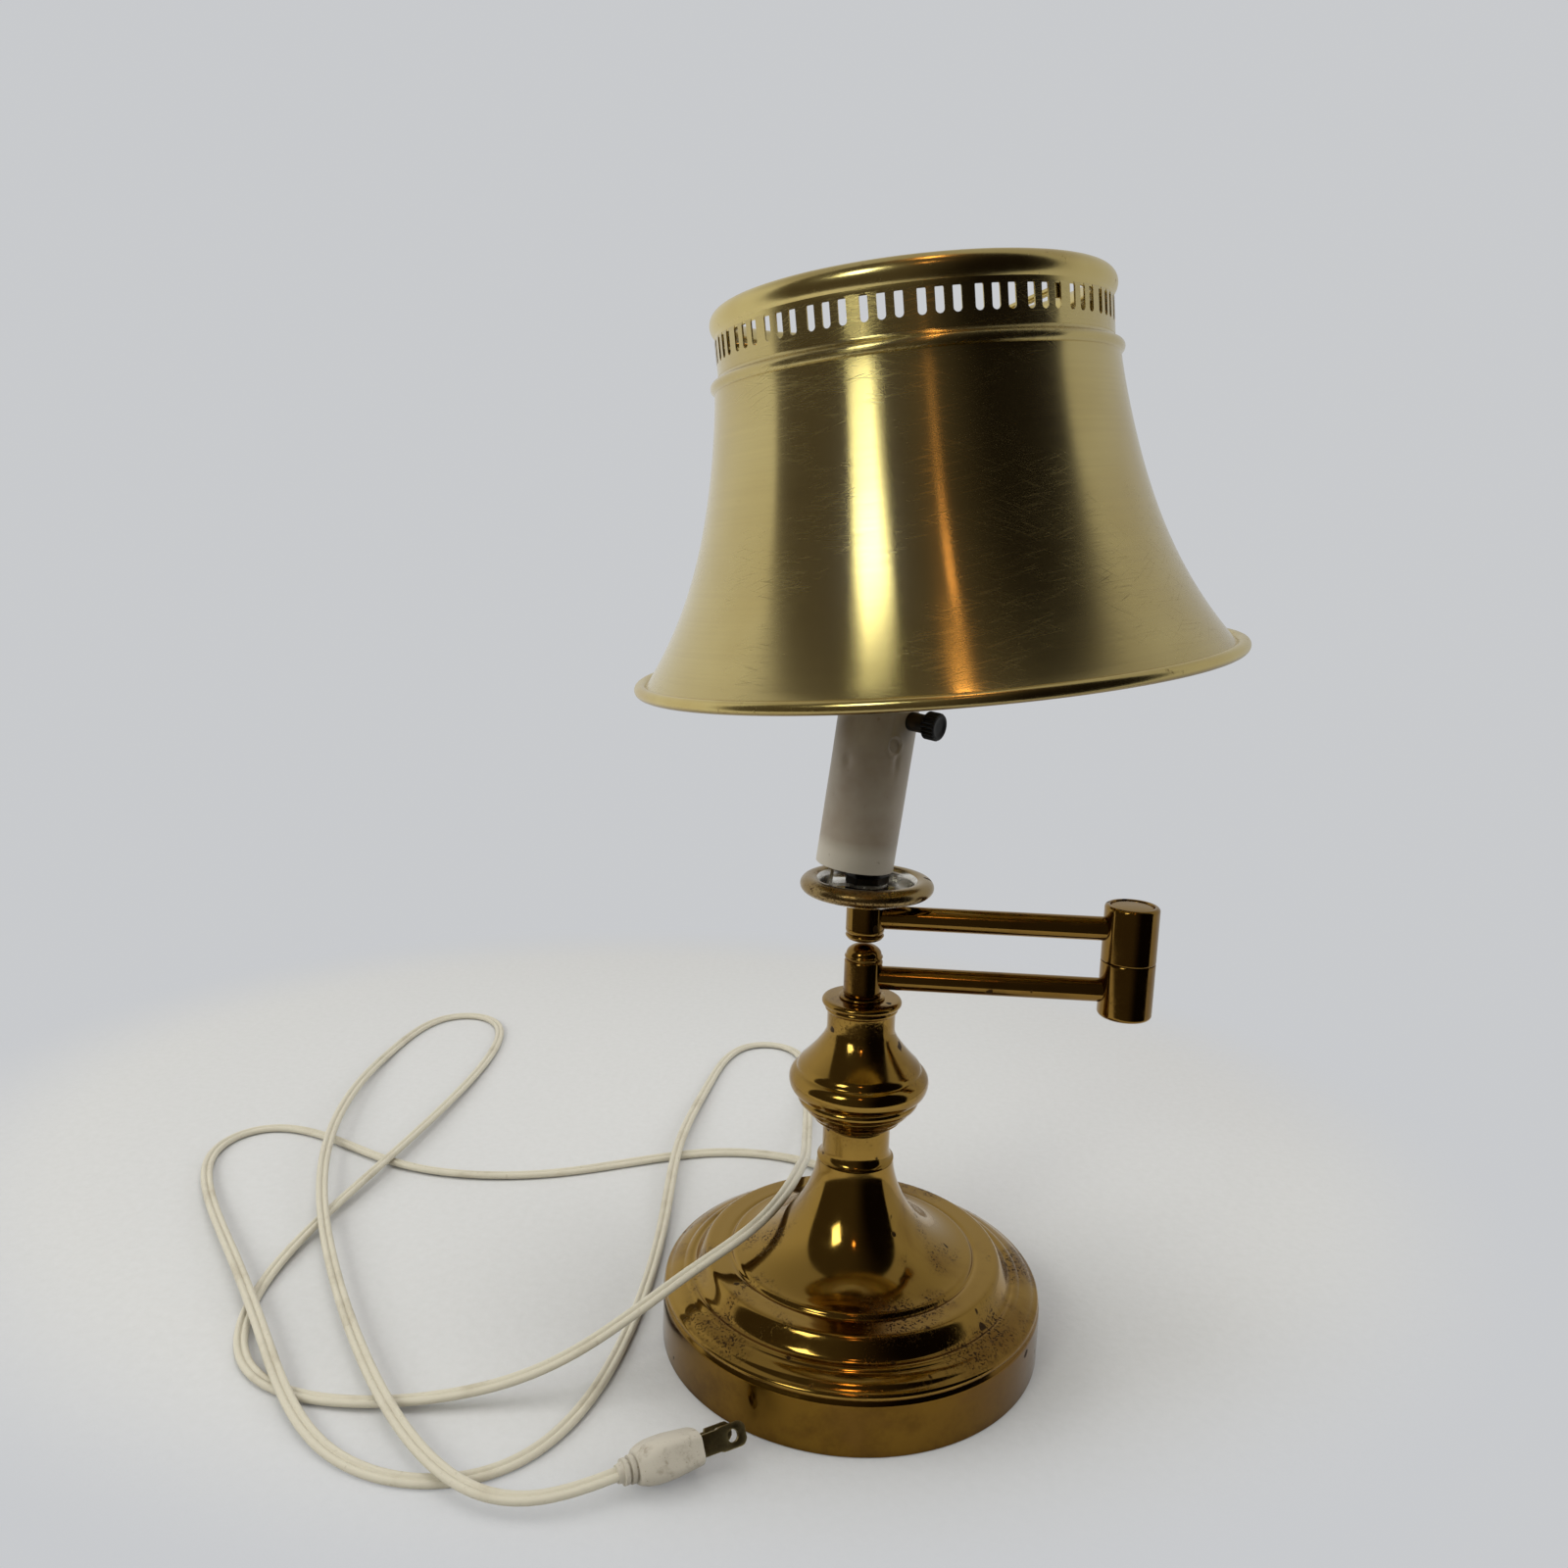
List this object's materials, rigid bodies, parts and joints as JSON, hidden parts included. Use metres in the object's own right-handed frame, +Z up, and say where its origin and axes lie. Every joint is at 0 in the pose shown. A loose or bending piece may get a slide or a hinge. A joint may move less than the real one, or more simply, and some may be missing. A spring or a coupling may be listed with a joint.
{
  "type": "swing arm table lamp",
  "caption": "Brass swing arm desk lamp: round weighted base, vase column, folded double arm with drip pan, plastic candle sleeve and pierced metal clip-on shade, with twin cord and plug.",
  "frame": {"origin": "centre of the base's underside, on the surface it stands on", "axes": "+Z up along the column, +X from the column to the elbow of the folded arm, -Y to the front"},
  "size_m": [0.4622, 0.4238, 0.4094],
  "materials": {
    "brass_dark": "polished, aged",
    "brass_light": "brushed satin",
    "brass_bright": "polished",
    "cast_weight": "rough cast",
    "felt": "felt",
    "steel": "zinc plated",
    "cord_plastic": "matte",
    "plug_plastic": "worn matte",
    "sleeve_plastic": "satin",
    "socket_plastic": "moulded",
    "knob_plastic": "satin black",
    "bulb_glass": "frosted white",
    "cap_alu": "satin",
    "blade_brass": "tarnished"
  },
  "bodies": {
    "base": {"base_shell": "brass_dark", "base_weight": "cast_weight", "base_pad": "felt", "base_spacer": "steel", "base_nut": "steel", "lamp_pipe": "steel", "neck_spool": "brass_dark", "vase_body": "brass_dark", "top_collar": "brass_dark", "bead_ring": "brass_dark", "cord_relief": "cord_plastic", "cord": "cord_plastic", "plug_body": "plug_plastic", "blade_wide": "blade_brass", "blade_narrow": "blade_brass"},
    "lower_arm": {"lower_hub": "brass_dark", "lower_cap": "brass_dark", "lower_tube": "brass_dark", "elbow_lower": "brass_dark", "elbow_lower_disc": "brass_bright", "elbow_pin": "steel"},
    "upper_arm": {"elbow_upper": "brass_dark", "elbow_upper_disc": "brass_bright", "upper_tube": "brass_dark", "upper_hub": "brass_dark", "upper_cap": "brass_dark", "pan_nipple": "steel", "drip_pan": "brass_bright", "pan_nut": "steel", "bracket_nut": "steel", "socket_bracket": "steel", "socket_screw": "steel", "socket_body": "socket_plastic", "screw_shell": "brass_bright", "centre_contact": "brass_bright", "switch_neck": "brass_bright", "candle_sleeve": "sleeve_plastic", "bulb_cap": "cap_alu", "bulb_glass": "bulb_glass", "bulb_stem": "steel"},
    "switch": {"switch_shaft": "steel", "switch_knob": "knob_plastic"},
    "shade_clip": {"clip_fingers": "steel", "clip_plate": "steel", "clip_stud": "steel", "clip_nut": "brass_bright"},
    "shade": {"shade_spider": "brass_light", "shade_shell": "brass_light"}
  },
  "joints": [
    {"name": "lower_arm_swing", "type": "hinge", "parent": "base", "child": "lower_arm", "pos_m": [0, 0, 0.15], "axis": [0, 0, 1], "range_deg": [-170, 170]},
    {"name": "upper_arm_swing", "type": "hinge", "parent": "lower_arm", "child": "upper_arm", "pos_m": [0.101, 0, 0.1618], "axis": [0, 0, 1], "range_deg": [-175, 175]},
    {"name": "switch_turn", "type": "hinge", "parent": "upper_arm", "child": "switch", "pos_m": [0.00158, 0, 0.25302], "axis": [0.8139, -0.5736, -0.0927], "continuous": true},
    {"name": "shade_tilt", "type": "hinge", "parent": "upper_arm", "child": "shade_clip", "pos_m": [0.01218, 0, 0.34602], "axis": [0, 1, 0], "range_deg": [-8, 13]},
    {"name": "shade_spin", "type": "hinge", "parent": "shade_clip", "child": "shade", "pos_m": [0.01218, 0, 0.34602], "axis": [-0.1159, -0.044, 0.9923], "continuous": true}
  ]
}
